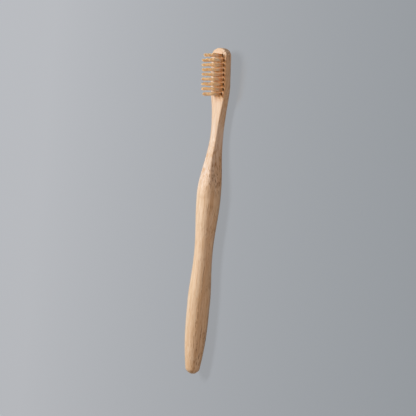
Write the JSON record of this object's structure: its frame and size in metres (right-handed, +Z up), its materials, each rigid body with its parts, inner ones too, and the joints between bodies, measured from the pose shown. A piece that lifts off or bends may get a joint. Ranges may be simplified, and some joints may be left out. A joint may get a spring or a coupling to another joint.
{
  "type": "manual toothbrush",
  "caption": "Bamboo toothbrush: one-piece contoured handle with a slim flat-sided neck and a round-ended head that carries rows of upright bristle tufts.",
  "frame": {"origin": "middle of the brush's length and width, on the surface that the brush lies on with its bristles up", "axes": "+X along the handle from the butt to the head's tip, +Z up, the way the bristles point"},
  "size_m": [0.1852, 0.014, 0.0173],
  "materials": {
    "bamboo": "satin",
    "bristle": "satin",
    "anchor": "satin"
  },
  "bodies": {
    "root": {"handle": "bamboo", "tuft_row1_1": "bristle", "tuft_row1_2": "bristle", "tuft_row1_3": "bristle", "tuft_row2_1": "bristle", "tuft_row2_2": "bristle", "tuft_row2_3": "bristle", "tuft_row2_4": "bristle", "tuft_row3_1": "bristle", "tuft_row3_2": "bristle", "tuft_row3_3": "bristle", "tuft_row3_4": "bristle", "tuft_row4_1": "bristle", "tuft_row4_2": "bristle", "tuft_row4_3": "bristle", "tuft_row4_4": "bristle", "tuft_row5_1": "bristle", "tuft_row5_2": "bristle", "tuft_row5_3": "bristle", "tuft_row5_4": "bristle", "tuft_row6_1": "bristle", "tuft_row6_2": "bristle", "tuft_row6_3": "bristle", "tuft_row6_4": "bristle", "tuft_row7_1": "bristle", "tuft_row7_2": "bristle", "tuft_row7_3": "bristle", "tuft_row7_4": "bristle", "tuft_row8_1": "bristle", "tuft_row8_2": "bristle", "tuft_row8_3": "bristle", "tuft_row8_4": "bristle", "tuft_row9_1": "bristle", "tuft_row9_2": "bristle", "tuft_row9_3": "bristle", "anchors_row1": "anchor", "anchors_row2": "anchor", "anchors_row3": "anchor", "anchors_row4": "anchor", "anchors_row5": "anchor", "anchors_row6": "anchor", "anchors_row7": "anchor", "anchors_row8": "anchor", "anchors_row9": "anchor"}
  },
  "joints": []
}
